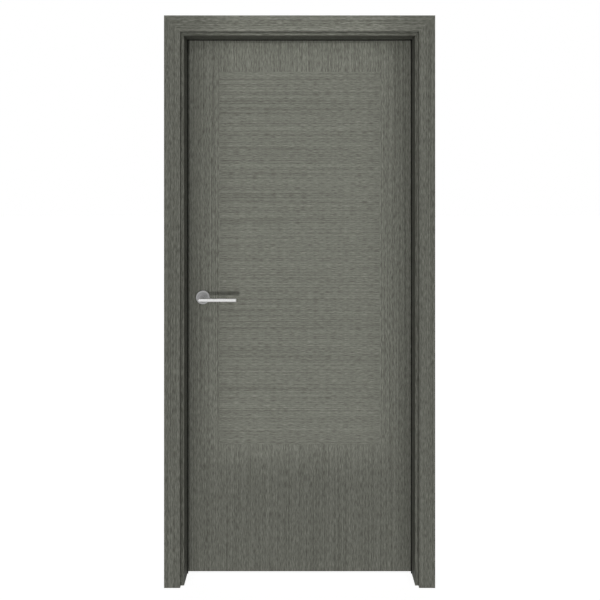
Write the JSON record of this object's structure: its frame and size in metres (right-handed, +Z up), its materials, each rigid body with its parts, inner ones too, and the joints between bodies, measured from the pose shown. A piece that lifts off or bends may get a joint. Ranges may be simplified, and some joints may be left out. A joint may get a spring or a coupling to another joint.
{
  "type": "flush interior door",
  "caption": "Flush interior door: veneered leaf with a cross-grain field, butt hinges and lever handles, in a frame with planted stops and flat mitred casings.",
  "frame": {"origin": "foot of the hinge jamb's outer face, midway through the wall, at floor level", "axes": "+Z up; +X out of the hinge jamb's outer face into the wall, to the right seen from the front; +Y through the wall to the back, the side that the leaf opens to"},
  "size_m": [1.0574, 0.196, 2.1837],
  "materials": {
    "leaf_oak": "matt grey-stained oak veneer, upright grain",
    "field_oak": "matt grey-stained oak veneer, level grain",
    "frame_oak": "matt grey-stained oak veneer, grain along each piece",
    "lipping_oak": "matt grey-stained solid oak, grain along each piece",
    "core_board": "raw chipboard, hidden inside the leaf",
    "seal_rubber": "matt black rubber",
    "hinge_steel": "satin steel",
    "latch_steel": "satin steel",
    "handle_steel": "bright satin steel"
  },
  "bodies": {
    "frame": {"back_casing_head": "frame_oak", "back_casing_hinge_side": "frame_oak", "back_casing_latch_side": "frame_oak", "frame_hinge_bottom": "hinge_steel", "frame_hinge_middle": "hinge_steel", "frame_hinge_top": "hinge_steel", "front_casing_head": "frame_oak", "front_casing_hinge_side": "frame_oak", "front_casing_latch_side": "frame_oak", "hinge_pin_bottom": "hinge_steel", "hinge_pin_middle": "hinge_steel", "hinge_pin_top": "hinge_steel", "jamb_head": "frame_oak", "jamb_hinge_side": "frame_oak", "jamb_latch_side": "frame_oak", "seal_head": "seal_rubber", "seal_hinge_side": "seal_rubber", "seal_latch_side": "seal_rubber", "stop_head": "frame_oak", "stop_hinge_side": "frame_oak", "stop_latch_side": "frame_oak", "strike_plate": "latch_steel"},
    "leaf": {"back_field": "field_oak", "back_rose": "handle_steel", "back_surround": "leaf_oak", "bottom_lipping": "lipping_oak", "front_field": "field_oak", "front_rose": "handle_steel", "front_surround": "leaf_oak", "hinge_lipping": "lipping_oak", "latch_bolt": "latch_steel", "latch_forend": "latch_steel", "latch_lipping": "lipping_oak", "leaf_core": "core_board", "leaf_hinge_bottom": "hinge_steel", "leaf_hinge_middle": "hinge_steel", "leaf_hinge_top": "hinge_steel", "top_lipping": "lipping_oak"},
    "lever": {"back_lever": "handle_steel", "front_lever": "handle_steel", "spindle": "latch_steel"}
  },
  "joints": [
    {"name": "leaf_swing", "type": "hinge", "parent": "frame", "child": "leaf", "pos_m": [-0.0275, 0.065, 1.055], "axis": [0, 0, -1], "range_deg": [0, 170]},
    {"name": "lever_turn", "type": "hinge", "parent": "leaf", "child": "lever", "pos_m": [-0.86, 0.0375, 1.084], "axis": [0, 1, 0], "range_deg": [0, 45], "stiffness_Nm_per_rad": 1.5, "springref_deg": -34.38}
  ]
}
